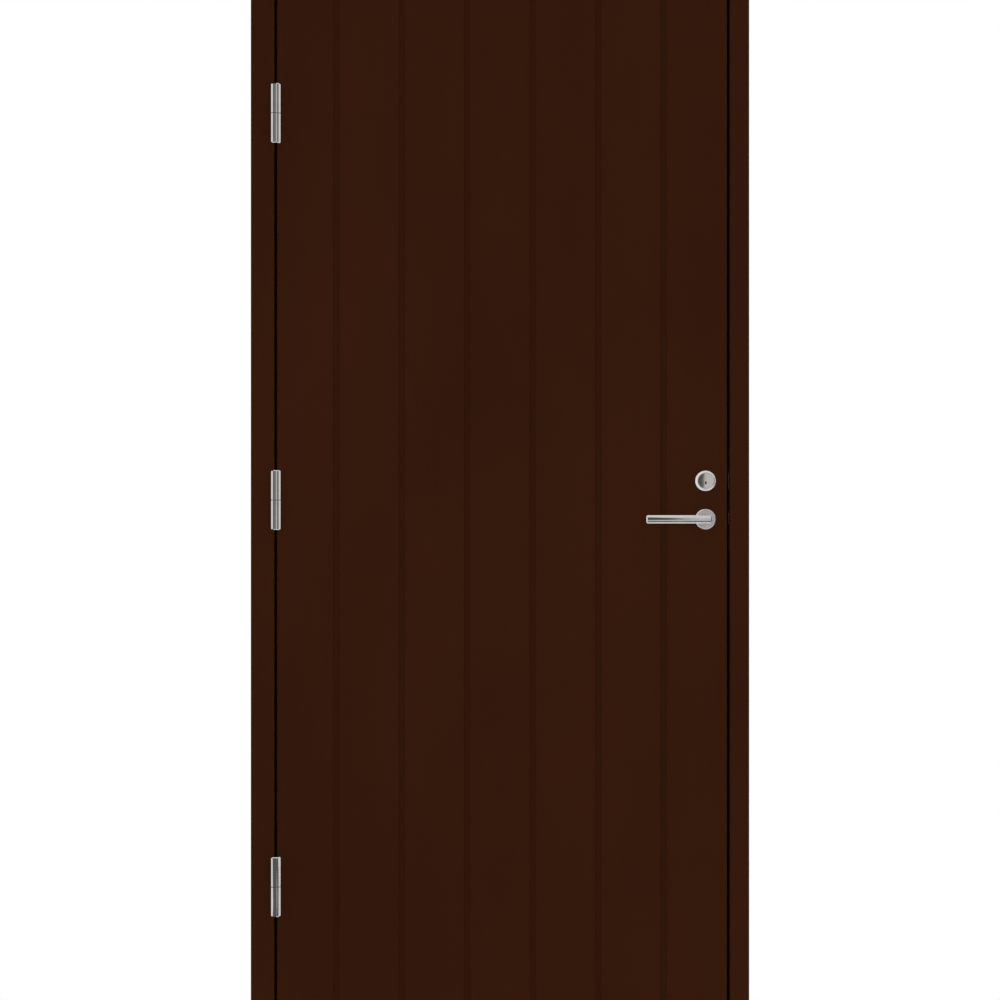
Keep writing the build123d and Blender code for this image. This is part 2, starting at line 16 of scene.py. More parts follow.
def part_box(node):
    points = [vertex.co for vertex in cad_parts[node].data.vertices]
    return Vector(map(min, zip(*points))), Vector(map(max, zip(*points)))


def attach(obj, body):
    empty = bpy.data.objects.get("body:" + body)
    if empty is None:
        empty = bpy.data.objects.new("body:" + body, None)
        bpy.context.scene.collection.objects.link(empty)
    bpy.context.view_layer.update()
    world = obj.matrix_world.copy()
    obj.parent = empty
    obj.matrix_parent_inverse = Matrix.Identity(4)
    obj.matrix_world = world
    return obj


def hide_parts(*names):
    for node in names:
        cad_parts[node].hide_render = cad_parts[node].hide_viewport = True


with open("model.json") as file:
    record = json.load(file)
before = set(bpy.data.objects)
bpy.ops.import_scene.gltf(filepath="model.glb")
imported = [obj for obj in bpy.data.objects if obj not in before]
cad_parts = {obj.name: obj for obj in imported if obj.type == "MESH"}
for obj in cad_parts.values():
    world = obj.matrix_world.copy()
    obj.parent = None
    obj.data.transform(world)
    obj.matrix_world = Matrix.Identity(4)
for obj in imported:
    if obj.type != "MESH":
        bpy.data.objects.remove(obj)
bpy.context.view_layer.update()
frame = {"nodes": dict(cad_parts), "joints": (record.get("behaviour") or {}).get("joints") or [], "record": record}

nodes_of_door = frame["nodes"]

# %% [markdown]
# ## The camera
# The picture was taken square on, at half the door's height, and cuts off the head and the
# threshold. A long lens from a few metres away is the simplest match: the width that the
# picture spans at the door's face and the distance together give the focal length.

# %% Camera
FACE_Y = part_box("hinge_jamb")[0][1]
HALF_HEIGHT = 1.045
PICTURE_SPAN = 1.9857
CAMERA_DISTANCE = 4.5
SENSOR_WIDTH = 36.0

camera_data = bpy.data.cameras.new("picture_camera")
camera_data.sensor_width = SENSOR_WIDTH
camera_data.lens = SENSOR_WIDTH * CAMERA_DISTANCE / PICTURE_SPAN
camera = bpy.data.objects.new("picture_camera", camera_data)
camera.location = (0.0, FACE_Y - CAMERA_DISTANCE, HALF_HEIGHT)
camera.rotation_euler = (math.pi / 2, 0.0, 0.0)
bpy.context.scene.collection.objects.link(camera)
bpy.context.scene.camera = camera
bpy.context.scene.view_settings.view_transform = "Standard"
print("lens:", round(camera_data.lens, 1), "mm")

# %% [markdown]
# ## A white room
# The door stands in front of plain white. The world gives that white to whatever looks straight
# at it or mirrors it, and a softer grey to matt surfaces, so that the paint keeps its depth.

# %% World
ROOM_GLOW = 0.48


def white_for_the_eye(tree):
    """A strength of 1 for rays that look at or mirror the white, and the room's glow for others."""
    rays = tree.nodes.new("ShaderNodeLightPath")
    looked_at = rays.outputs["Is Camera Ray"]
    for kind in ("Is Glossy Ray", "Is Transmission Ray"):
        either = tree.nodes.new("ShaderNodeMath")
        either.operation = "MAXIMUM"
        tree.links.new(looked_at, either.inputs[0])
        tree.links.new(rays.outputs[kind], either.inputs[1])
        looked_at = either.outputs[0]
    level = tree.nodes.new("ShaderNodeMapRange")
    level.inputs["To Min"].default_value = ROOM_GLOW
    level.inputs["To Max"].default_value = 1.0
    tree.links.new(looked_at, level.inputs["Value"])
    return level.outputs["Result"]


world = bpy.data.worlds.new("white_room")
bpy.context.scene.world = world
world.use_nodes = True
room_white = world.node_tree.nodes["Background"]
room_white.inputs["Color"].default_value = (1.0, 1.0, 1.0, 1.0)
world.node_tree.links.new(white_for_the_eye(world.node_tree), room_white.inputs["Strength"])
print("room glow:", ROOM_GLOW)

# %% [markdown]
# ## A floor that fades away
# The floor has to take the door's shadow and still leave no line where it ends. Close to the
# threshold it is a matt white sheet; further out it turns into the same white as the room. The
# fade is measured on plan, and is short behind the door, where the picture looks at it.

# %% Floor sheet
FLOOR_Z = -0.0005
SHADOW_SIDE = 1.90
SHADOW_FRONT = 1.25
SHADOW_BACK = 0.16


def new_object(name, mesh):
    """Puts a mesh into the scene as an object of that name."""
    made = bpy.data.objects.new(name, mesh)
    bpy.context.scene.collection.objects.link(made)
    return made


floor_mesh = bpy.data.meshes.new("floor")
floor_plan = [(-1, -SHADOW_FRONT), (1, -SHADOW_FRONT), (1, SHADOW_BACK), (-1, SHADOW_BACK)]
floor_corners = [(side * SHADOW_SIDE, y, FLOOR_Z) for side, y in floor_plan]
floor_mesh.from_pydata(floor_corners, [], [(0, 1, 2, 3)])
floor = new_object("floor", floor_mesh)
print("floor reaches", SHADOW_SIDE, "m to the sides and", SHADOW_FRONT, "m to the front")

# %% Floor finish
FLOOR_WHITE = (0.9, 0.9, 0.9, 1.0)
FLOOR_ROUGHNESS = 0.9
FADE_START, FADE_END = 0.35, 1.0


def math_node(tree, operation, first, second=0.0):
    """One step of arithmetic between two outputs, or an output and a number."""
    step = tree.nodes.new("ShaderNodeMath")
    step.operation = operation
    for socket, value in zip(step.inputs, (first, second)):
        if isinstance(value, float):
            socket.default_value = value
        else:
            tree.links.new(value, socket)
    return step.outputs[0]


def share_of_floor(tree):
    """How far out a point lies: 0 under the door, and 1 where the floor has turned white."""
    plan = tree.nodes.new("ShaderNodeSeparateXYZ")
    tree.links.new(tree.nodes.new("ShaderNodeTexCoord").outputs["Object"], plan.inputs["Vector"])
    sideways = math_node(tree, "DIVIDE", plan.outputs["X"], SHADOW_SIDE)
    forwards = math_node(tree, "DIVIDE", plan.outputs["Y"], -SHADOW_FRONT)
    backwards = math_node(tree, "DIVIDE", plan.outputs["Y"], SHADOW_BACK)
    in_depth = math_node(tree, "MAXIMUM", forwards, backwards)
    across_squared = math_node(tree, "POWER", math_node(tree, "ABSOLUTE", sideways), 2.0)
    in_depth_squared = math_node(tree, "POWER", in_depth, 2.0)
    return math_node(tree, "SQRT", math_node(tree, "ADD", across_squared, in_depth_squared))


floor_paint = bpy.data.materials.new("floor_white")
floor_paint.use_nodes = True
floor_tree = floor_paint.node_tree
matt = floor_tree.nodes["Principled BSDF"]
matt.inputs["Base Color"].default_value = FLOOR_WHITE
matt.inputs["Roughness"].default_value = FLOOR_ROUGHNESS
matt.inputs["Specular IOR Level"].default_value = 0.0
fade = floor_tree.nodes.new("ShaderNodeMapRange")
fade.interpolation_type = "SMOOTHSTEP"
fade.inputs["From Min"].default_value = FADE_START
fade.inputs["From Max"].default_value = FADE_END
floor_tree.links.new(share_of_floor(floor_tree), fade.inputs["Value"])
bright = floor_tree.nodes.new("ShaderNodeEmission")
floor_tree.links.new(white_for_the_eye(floor_tree), bright.inputs["Strength"])
fading = floor_tree.nodes.new("ShaderNodeMixShader")
floor_tree.links.new(fade.outputs["Result"], fading.inputs["Fac"])
floor_tree.links.new(matt.outputs["BSDF"], fading.inputs[1])
floor_tree.links.new(bright.outputs["Emission"], fading.inputs[2])
floor_tree.links.new(fading.outputs["Shader"], floor_tree.nodes["Material Output"].inputs["Surface"])
floor_mesh.materials.append(floor_paint)
print("floor turns white from", FADE_START, "to", FADE_END, "of its reach")

# %% [markdown]
# ## Soft light
# The paint is so dark that any lamp mirrored in it would wash it out, and the steel should show
# the room, not the lamps. So five large softboxes light matt surfaces only: most of the light
# comes from straight in front and behind, some from above, a little from the sides.

# %% Softboxes
DOOR_MIDDLE = (0.0, 0.0, HALF_HEIGHT)
LAMP_DISTANCE = 4.6
FACE_LAMP_SIZE, FACE_LAMP_POWER = (1.2, 1.2), 108.0
SIDE_LAMP_SIZE, SIDE_LAMP_POWER, SIDE_LAMP_Z = (1.8, 3.6), 20.0, 1.4
TOP_LAMP_SIZE, TOP_LAMP_POWER, TOP_LAMP_Z = (4.0, 1.4), 90.0, 5.2


def softbox(name, place, size, power):
    """A rectangular studio light, turned towards the door, which no surface mirrors."""
    lamp = bpy.data.lights.new(name, "AREA")
    lamp.shape = "RECTANGLE"
    lamp.size, lamp.size_y = size
    lamp.energy = power
    holder = bpy.data.objects.new(name, lamp)
    holder.location = place
    direction = Vector(DOOR_MIDDLE) - Vector(place)
    holder.rotation_euler = direction.to_track_quat("-Z", "Y").to_euler()
    holder.visible_glossy = False
    bpy.context.scene.collection.objects.link(holder)


for side, way in (("front", -1.0), ("back", 1.0)):
    lamp_place = (0.0, way * LAMP_DISTANCE, HALF_HEIGHT)
    softbox(f"{side}_softbox", lamp_place, FACE_LAMP_SIZE, FACE_LAMP_POWER)
for side, way in (("left", -1.0), ("right", 1.0)):
    lamp_place = (way * LAMP_DISTANCE, 0.0, SIDE_LAMP_Z)
    softbox(f"{side}_softbox", lamp_place, SIDE_LAMP_SIZE, SIDE_LAMP_POWER)
softbox("top_softbox", (0.0, 0.0, TOP_LAMP_Z), TOP_LAMP_SIZE, TOP_LAMP_POWER)
print("softboxes:", len(bpy.data.lights))

# %% [markdown]
# ## Grey screens for the steel
# A polished bar shows the photographer's room: bright at the rims, dark towards the lens, with one
# light band. A folded screen stands for that room, in front of the door and again behind it, and
# only reflections see it. Each fold has its own grey, and the greys blend between the folds. The
# middle folds lean, because a level bar sees them on a slant.
#
# The undersides of the bars look down. For them a dark skirt hangs below the screen, and strips of
# table lie on the floor. A small dark flag beside the lever draws the line round the lever's end.

# %% Greys of the room
SCREEN_Y = 6.5
SCREEN_FOOT, SCREEN_LOW, SCREEN_HIGH = -1.3, -0.3, 12.0
SCREEN_LEAN = 0.26
LEANING_PART = 1.0
SKIRT_GREY = 0.15
# Each fold: its place on plan and its grey
SCREEN_FOLDS = [
    (-7.0, 4.1, 0.15),
    (-7.0, SCREEN_Y, 0.15),
    (-3.4, SCREEN_Y, 0.26),
    (-1.5, SCREEN_Y, 0.24),
    (0.30, SCREEN_Y, 0.13),
    (0.79, SCREEN_Y, 0.09),
    (0.88, SCREEN_Y, 0.74),
    (3.30, SCREEN_Y, 0.90),
    (3.65, SCREEN_Y, 0.27),
    (7.0, SCREEN_Y, 0.27),
    (7.0, 0.9, 0.25),
]
TABLE_Z = 0.002
# Each strip: left and right end, near and far edge, and its grey
TABLE_STRIPS = {
    "near": (-1.5, 1.5, 0.36, 0.98, 0.10),
    "light": (0.20, 0.75, 0.98, 1.60, 0.45),
    "left": (-2.6, 0.20, 0.98, 2.30, 0.13),
    "right": (0.75, 2.20, 0.98, 2.30, 0.13),
}
FLAG_X = 0.605
FLAG_NEAR, FLAG_FAR = 0.02, 0.09
FLAG_LOW, FLAG_HIGH = 0.90, 1.05
FLAG_GREY = 0.03
print("greys of the room:", len(SCREEN_FOLDS), "folds and", len(TABLE_STRIPS), "strips")

# %% Sheets for reflections
screen_grey = bpy.data.materials.new("screen_grey")
screen_grey.use_nodes = True
screen_tree = screen_grey.node_tree
screen_tree.nodes.remove(screen_tree.nodes["Principled BSDF"])
grey_of_fold = screen_tree.nodes.new("ShaderNodeAttribute")
grey_of_fold.attribute_name = "grey"
screen_light = screen_tree.nodes.new("ShaderNodeEmission")
screen_out = screen_tree.nodes["Material Output"]
screen_tree.links.new(grey_of_fold.outputs["Fac"], screen_light.inputs["Strength"])
screen_tree.links.new(screen_light.outputs["Emission"], screen_out.inputs["Surface"])


def for_mirrors_only(sheet):
    """Makes a sheet part of the studio that only reflections see."""
    sheet.visible_camera = False
    sheet.visible_diffuse = False
    sheet.visible_shadow = False


def screen(name, near_edge, far_edge, greys):
    """A row of sheets between two rows of points, with a grey for each pair of points."""
    mesh = bpy.data.meshes.new(name)
    count = len(greys)
    sheets = [(i, i + 1, count + i + 1, count + i) for i in range(count - 1)]
    mesh.from_pydata([*near_edge, *far_edge], [], sheets)
    mesh.attributes.new("grey", "FLOAT", "POINT").data.foreach_set("value", [*greys, *greys])
    mesh.materials.append(screen_grey)
    for_mirrors_only(new_object(name, mesh))


def leaned(x):
    return x + SCREEN_LEAN if abs(x) < LEANING_PART else x


print(screen_grey.name, "for sheets that only reflections see")

# %% Screens, tables and flags
fold_greys = [grey for x, y, grey in SCREEN_FOLDS]
for side, way in (("front", -1), ("back", 1)):
    feet = [(x, way * y, SCREEN_FOOT) for x, y, grey in SCREEN_FOLDS]
    waist = [(x, way * y, SCREEN_LOW) for x, y, grey in SCREEN_FOLDS]
    tops = [(leaned(x), way * y, SCREEN_HIGH) for x, y, grey in SCREEN_FOLDS]
    screen(f"{side}_screen", waist, tops, fold_greys)
    screen(f"{side}_skirt", feet, waist, [SKIRT_GREY] * len(SCREEN_FOLDS))
    for strip, (left, right, near_y, far_y, grey) in TABLE_STRIPS.items():
        near = [(x, way * near_y, TABLE_Z) for x in (left, right)]
        far = [(x, way * far_y, TABLE_Z) for x in (left, right)]
        screen(f"{side}_{strip}_table", near, far, [grey, grey])
    flag_foot = [(FLAG_X, way * y, FLAG_LOW) for y in (FLAG_NEAR, FLAG_FAR)]
    flag_top = [(FLAG_X, way * y, FLAG_HIGH) for y in (FLAG_NEAR, FLAG_FAR)]
    screen(f"{side}_flag", flag_foot, flag_top, [FLAG_GREY, FLAG_GREY])
print("screens:", 2 * len(SCREEN_FOLDS), "folds")

# %% [markdown]
# ## Small helpers for finishes
# Every finish here is built from a few node tricks: a noise that may be stretched along the
# grain, a remap that turns it into a range of roughness, a blend of two close colours, and a
# bump. Writing each trick once keeps the finishes short and easy to compare.

# %% Node helpers


class Finish:
    """A node material, with one method for each trick."""

    def __init__(self, name, metallic=0.0):
        self.material = bpy.data.materials.new(name)
        self.material.use_nodes = True
        self.tree = self.material.node_tree
        self.shader = self.tree.nodes["Principled BSDF"]
        self.shader.inputs["Metallic"].default_value = metallic
        self.coords = self.tree.nodes.new("ShaderNodeTexCoord")

    def link(self, out, into):
        self.tree.links.new(out, into)

    def set(self, socket, value):
        self.shader.inputs[socket].default_value = value

    def place(self, stretch):
        """Object coordinates, scaled by stretch along X, Y and Z."""
        mapping = self.tree.nodes.new("ShaderNodeMapping")
        mapping.inputs["Scale"].default_value = stretch
        self.link(self.coords.outputs["Object"], mapping.inputs["Vector"])
        return mapping.outputs["Vector"]

    def noise(self, stretch, detail=3.0, roughness=0.55, warp=0.0):
        tex = self.tree.nodes.new("ShaderNodeTexNoise")
        tex.inputs["Scale"].default_value = 1.0
        tex.inputs["Detail"].default_value = detail
        tex.inputs["Roughness"].default_value = roughness
        tex.inputs["Distortion"].default_value = warp
        self.link(self.place(stretch), tex.inputs["Vector"])
        return tex.outputs[0]

    def remap(self, value, low, high, start=0.3, end=0.7):
        node = self.tree.nodes.new("ShaderNodeMapRange")
        node.inputs["From Min"].default_value = start
        node.inputs["From Max"].default_value = end
        node.inputs["To Min"].default_value = low
        node.inputs["To Max"].default_value = high
        self.link(value, node.inputs["Value"])
        return node.outputs["Result"]

    def blend(self, value, first, second, start=0.3, end=0.7):
        ramp = self.tree.nodes.new("ShaderNodeValToRGB")
        ramp.color_ramp.elements[0].position = start
        ramp.color_ramp.elements[1].position = end
        ramp.color_ramp.elements[0].color = (*first, 1.0)
        ramp.color_ramp.elements[1].color = (*second, 1.0)
        self.link(value, ramp.inputs["Fac"])
        return ramp.outputs["Color"]

    def multiply(self, first, second):
        mix = self.tree.nodes.new("ShaderNodeMix")
        mix.data_type = "RGBA"
        mix.blend_type = "MULTIPLY"
        mix.inputs["Factor"].default_value = 1.0
        self.link(first, mix.inputs["A"])
        self.link(second, mix.inputs["B"])
        return mix.outputs["Result"]

    def bump(self, height, depth, under=None, strength=1.0):
        """A bump of that depth in metres, over another bump if there is one."""
        node = self.tree.nodes.new("ShaderNodeBump")
        node.inputs["Strength"].default_value = strength
        node.inputs["Distance"].default_value = depth
        self.link(height, node.inputs["Height"])
        if under is not None:
            self.link(under, node.inputs["Normal"])
        return node.outputs["Normal"]

    def colour(self, out):
        self.link(out, self.shader.inputs["Base Color"])

    def rough(self, out):
        self.link(out, self.shader.inputs["Roughness"])

    def normal(self, out):
        self.link(out, self.shader.inputs["Normal"])


def dress(finish, *names):
    """Gives the finish to CAD nodes, by name."""
    for name in names:
        mesh = nodes_of_door[name].data
        mesh.materials.clear()
        mesh.materials.append(finish.material)
    print(finish.material.name, "on", len(names), "solids")


# %% [markdown]
# ## Brown paint
# Leaf and frame carry the same factory paint, a deep red-brown with a low sheen. On fibreboard
# it dries with the faint stipple of a roller; on the pine frame the grain also lifts a little
# through it. One function makes both, and the grain runs the way that the board was cut. The skins'
# colour is darkened towards the bottom of their grooves: painted shade for the shade that falls there.

# %% Paint
PAINT = (0.0322, 0.0085, 0.0030)
PAINT_DEEP = tuple(0.92 * c for c in PAINT)
PAINT_LIGHT = tuple(1.07 * c for c in PAINT)
PAINT_ROUGHNESS = (0.44, 0.54)
PAINT_SHEEN, SHEEN_TINT = 0.06, (1.0, 0.55, 0.35, 1.0)
FIBRE_SHADE, FIBRE_BARE = (0.95, 0.94, 0.93), (1.0, 1.0, 1.0)
CLOUDS = (2.3, 2.3, 1.1)
STIPPLE, STIPPLE_DEPTH = (820.0, 820.0, 820.0), 0.00006
# Painted shade in the grooves: between the lip and the bottom, the skins' colour falls to this tone.
GROOVE_DEPTH = 0.0035
GROOVE_LIP = 0.0008
GROOVE_PAINTED_SHADE = 0.92


def painted_groove_shade(paint):
    """Painted shade: 1 on the faces of the leaf, down to the groove shade at the bottom of its grooves."""
    front_y = min(corner[1] for corner in nodes_of_door["outer_skin"].bound_box)
    back_y = max(corner[1] for corner in nodes_of_door["inner_skin"].bound_box)
    middle_y, half_depth = (front_y + back_y) / 2, (back_y - front_y) / 2
    axes = paint.tree.nodes.new("ShaderNodeSeparateXYZ")
    paint.link(paint.coords.outputs["Object"], axes.inputs["Vector"])
    from_middle = math_node(paint.tree, "SUBTRACT", axes.outputs["Y"], middle_y)
    height = math_node(paint.tree, "ABSOLUTE", from_middle)
    bottom, lip = half_depth - GROOVE_DEPTH, half_depth - GROOVE_LIP
    return paint.remap(height, GROOVE_PAINTED_SHADE, 1.0, start=bottom, end=lip)


def brown_paint(name, grain, grain_depth, grooved=False):
    """Satin paint over wood; grain is the stretch along X, Y and Z of its fibres."""
    paint = Finish(name)
    clouds = paint.noise(CLOUDS)
    fibres = paint.noise(grain, detail=5.0, roughness=0.6, warp=0.3)
    stipple = paint.noise(STIPPLE, detail=2.0)
    cloud_tone = paint.blend(clouds, PAINT_DEEP, PAINT_LIGHT)
    fibre_tone = paint.blend(fibres, FIBRE_SHADE, FIBRE_BARE)
    tone = paint.multiply(cloud_tone, fibre_tone)
    # On the skins the colour is darkened in the grooves as painted shade.
    paint.colour(paint.multiply(tone, painted_groove_shade(paint)) if grooved else tone)
    paint.rough(paint.remap(fibres, *PAINT_ROUGHNESS))
    grained = paint.bump(fibres, grain_depth)
    paint.normal(paint.bump(stipple, STIPPLE_DEPTH, under=grained))
    paint.set("Specular IOR Level", PAINT_SHEEN)
    paint.set("Specular Tint", SHEEN_TINT)
    return paint


board_paint = brown_paint("paint_on_board", (190.0, 190.0, 5.0), 0.00003, grooved=True)
post_paint = brown_paint("paint_on_upright_pine", (240.0, 240.0, 6.0), 0.00008)
beam_paint = brown_paint("paint_on_level_pine", (6.0, 240.0, 240.0), 0.00008)
dress(board_paint, "outer_skin", "inner_skin")
dress(post_paint, "hinge_jamb", "lock_jamb", "hinge_stile", "lock_stile")
dress(beam_paint, "head_jamb", "top_rail", "bottom_rail")

# %% [markdown]
# ## White cards for the rims
# Beside dark paint the rims of round bars would mirror it and go dark as well. A photographer
# slips white card between the bar and the paint. Here such a card lies just in front of each face
# of the leaf: over all of the outside, where hinges and handle are, and only round the handle inside.
# Only reflections see a card, and only from its white side, so that the paint is left alone.

# %% Rim cards
CARD_STRENGTH = 0.90
CARD_INSET = 0.012
INNER_CARD_INSET = 0.030
INNER_CARD_REACH = 0.10
CARD_STAND_OFF = 0.0003

card_white = bpy.data.materials.new("card_white")
card_white.use_nodes = True
card_tree = card_white.node_tree
card_tree.nodes.remove(card_tree.nodes["Principled BSDF"])
card_out = card_tree.nodes["Material Output"]
card_front = card_tree.nodes.new("ShaderNodeEmission")
card_front.inputs["Strength"].default_value = CARD_STRENGTH
card_back = card_tree.nodes.new("ShaderNodeBsdfTransparent")
card_sides = card_tree.nodes.new("ShaderNodeMixShader")
facing = card_tree.nodes.new("ShaderNodeNewGeometry")
card_tree.links.new(facing.outputs["Backfacing"], card_sides.inputs["Fac"])
card_tree.links.new(card_front.outputs["Emission"], card_sides.inputs[1])
card_tree.links.new(card_back.outputs["BSDF"], card_sides.inputs[2])
card_tree.links.new(card_sides.outputs["Shader"], card_out.inputs["Surface"])


def rim_card(name, left, right, low, high, y):
    """A card in front of a face of the leaf; it shows on the side where left is on the left."""
    mesh = bpy.data.meshes.new(name)
    corners = [(left, y, low), (right, y, low), (right, y, high), (left, y, high)]
    mesh.from_pydata(corners, [], [(0, 1, 2, 3)])
    mesh.materials.append(card_white)
    for_mirrors_only(new_object(name, mesh))


outer_low, outer_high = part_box("outer_skin")
inner_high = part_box("inner_skin")[1]
inside_lever_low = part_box("inside_lever")[0]
inside_turn_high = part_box("thumb_turn_rose")[1]
rim_card(
    "outer_rim_card",
    left=outer_low[0] + CARD_INSET,
    right=outer_high[0],
    low=outer_low[2],
    high=outer_high[2],
    y=outer_low[1] - CARD_STAND_OFF,
)
rim_card(
    "inner_rim_card",
    left=inner_high[0] - INNER_CARD_INSET,
    right=inside_lever_low[0] - INNER_CARD_REACH,
    low=inside_lever_low[2] - INNER_CARD_REACH,
    high=inside_turn_high[2] + INNER_CARD_REACH,
    y=inner_high[1] + CARD_STAND_OFF,
)
print("rim cards:", CARD_STRENGTH)

# %% [markdown]
# ## Satin stainless steel
# Hinges, levers, roses and the lock ring are one steel with different grinding marks. The fine
# lines run round the turned pieces and along the bars. Stretched noise makes such lines; it
# moves the roughness a little and presses in a bump of one or two microns.

# %% Steel
STEEL = (0.62, 0.61, 0.60)
ROSE_STEEL = (0.73, 0.70, 0.69)
RING_STEEL = (0.76, 0.74, 0.72)
# A darker steel for the washers between the hinge knuckles, which draws a thin dark line at each split.
DARK_WASHER_STEEL = (0.30, 0.29, 0.28)
GRINDING_DEPTH = 0.0000015
PATCHES = (45.0, 45.0, 45.0)
PATCH_DARK, PATCH_LIGHT = 0.95, 1.04


def satin_steel(name, lines, low, high, tone=STEEL, depth=GRINDING_DEPTH):
    """Ground steel; lines is the stretch of its grinding marks, low and high its roughness."""
    steel = Finish(name, metallic=1.0)
    marks = steel.noise(lines, detail=4.0, roughness=0.65)
    patches = steel.noise(PATCHES, detail=2.0)
    dark, light = (tuple(share * c for c in tone) for share in (PATCH_DARK, PATCH_LIGHT))
    steel.colour(steel.blend(patches, dark, light))
    steel.rough(steel.remap(marks, low, high))
    steel.normal(steel.bump(marks, depth))
    return steel


barrel_steel = satin_steel("steel_turned_barrel", (30.0, 30.0, 2600.0), 0.05, 0.08)
bar_steel = satin_steel("steel_ground_bar", (18.0, 2200.0, 2200.0), 0.03, 0.06)
rose_steel = satin_steel("steel_brushed_rose", (2400.0, 2400.0, 40.0), 0.24, 0.34, tone=ROSE_STEEL)
plate_steel = satin_steel("steel_rolled_plate", (900.0, 900.0, 25.0), 0.28, 0.40)
RING_MARKS, WASHER_MARKS = (1200.0, 1200.0, 1200.0), (300.0, 300.0, 300.0)
ring_steel = satin_steel("steel_bevelled_ring", RING_MARKS, 0.22, 0.30, tone=RING_STEEL)
washer_steel = satin_steel("steel_darker_washer", WASHER_MARKS, 0.25, 0.40, tone=DARK_WASHER_STEEL)
print("steels:", [made.name for made in bpy.data.materials if made.name.startswith("steel")])

# %% Steel pieces
HINGE_PLACES = ("top", "middle", "bottom")
for hinge_place in HINGE_PLACES:
    dress(barrel_steel, f"{hinge_place}_hinge_leaf_half", f"{hinge_place}_hinge_frame_half")
dress(washer_steel, "hinge_washers")
dress(bar_steel, "outside_lever", "inside_lever", "spindle", "thumb_turn")
dress(ring_steel, "cylinder_ring")
dress(rose_steel, "outside_rose", "inside_rose", "thumb_turn_rose")
dress(plate_steel, "strike_plate", "mortise_lock")

# %% [markdown]
# ## Lock face, plug and bolts
# The lock's plug and bolts are brass under nickel: a little warmer and smoother than ground steel.
# The steel face round the plug is polished together with it, so both take the same tone and marks.

# %% Polished lock
NICKEL = (0.62, 0.60, 0.56)
FINE_MARKS = (500.0, 500.0, 500.0)
FINE_DEPTH = 0.0000004


def polished(name):
    return satin_steel(name, FINE_MARKS, 0.06, 0.10, tone=NICKEL, depth=FINE_DEPTH)


nickel = polished("nickel_on_brass")
polished_steel = polished("steel_polished_face")
dress(nickel, "cylinder_plug", "lock_bolts")
dress(polished_steel, "lock_cylinder")

# %% [markdown]
# ## Oak threshold and aluminium strip
# Feet wear a painted threshold bare, so this one is oiled oak under a ribbed aluminium strip.
# Oak shows broad growth bands, dark pores drawn out along the board and a soft oil sheen. One noise
# makes the bands and their sheen, and another with a closer stretch makes the pores.

# %% Oak and aluminium
OAK_DARK, OAK_LIGHT = (0.115, 0.052, 0.021), (0.245, 0.125, 0.055)
PORE_SHADE, PORE_BARE = (0.55, 0.50, 0.46), (1.0, 1.0, 1.0)
PORE_DEPTH = 0.00012
OIL_SHEEN = 0.35
ALUMINIUM = (0.52, 0.52, 0.53)

oak = Finish("oiled_oak")
oak_bands = oak.noise((1.6, 46.0, 46.0), detail=4.0, warp=1.2)
oak_pores = oak.noise((22.0, 900.0, 900.0), detail=2.0, roughness=0.4)
oak_tone = oak.blend(oak_bands, OAK_DARK, OAK_LIGHT)
pore_tone = oak.blend(oak_pores, PORE_SHADE, PORE_BARE, start=0.30, end=0.44)
oak.colour(oak.multiply(oak_tone, pore_tone))
oak.rough(oak.remap(oak_bands, 0.42, 0.58))
oak.normal(oak.bump(oak_pores, PORE_DEPTH))
oak.set("Specular IOR Level", OIL_SHEEN)
dress(oak, "threshold")
aluminium = satin_steel("drawn_aluminium", (12.0, 1500.0, 1500.0), 0.28, 0.42, tone=ALUMINIUM)
dress(aluminium, "threshold_strip")

# %% [markdown]
# ## Paper core
# Between the skins the leaf is filled with paper honeycomb. It never shows while the leaf is
# whole, but it still gets its own brown board, with a cell pattern from a Voronoi texture. The
# cells' hollows are painted darker than their walls: painted shade for the depth of each cell.

# %% Core
# The hollow's colour is painted shade for the depth of the cells.
CELL_WALL, CELL_HOLLOW_SHADE = (0.42, 0.30, 0.17), (0.20, 0.13, 0.07)
CELLS_PER_METRE = 70.0

core = Finish("honeycomb_board")
cells = core.tree.nodes.new("ShaderNodeTexVoronoi")
cells.feature = "DISTANCE_TO_EDGE"
cells.inputs["Scale"].default_value = 1.0
core.link(core.place((CELLS_PER_METRE,) * 3), cells.inputs["Vector"])
from_wall = cells.outputs["Distance"]
core.colour(core.blend(from_wall, CELL_WALL, CELL_HOLLOW_SHADE, start=0.02, end=0.12))
core.rough(core.remap(from_wall, 0.95, 0.80, start=0.0, end=0.3))
dress(core, "leaf_core")

# %% [markdown]
# ## Bulb gaskets
# The leaf closes against soft rubber: a flat foot glued to the stop, with a round bulb on it that
# the leaf nearly touches. The four lengths are cut at 45 degrees where they meet. A profile swept
# along each side gives that directly: at each end the points move along by their distance from
# the centre line, which makes the mitre.

# %% Gasket profile
hinge_seal, lock_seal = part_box("hinge_side_seal"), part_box("lock_side_seal")
head_seal, threshold_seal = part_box("head_seal"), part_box("threshold_seal")
STOP_Y = hinge_seal[1][1]
SEAL_WIDTH = hinge_seal[1][0] - hinge_seal[0][0]
SEAL_HEIGHT = STOP_Y - hinge_seal[0][1]
FOOT_EDGE, FOOT_CROWN = 0.0009, 0.0016
BULB_RADIUS = 0.0031
BULB_STEPS = 28
MM_PER_M = 1000.0


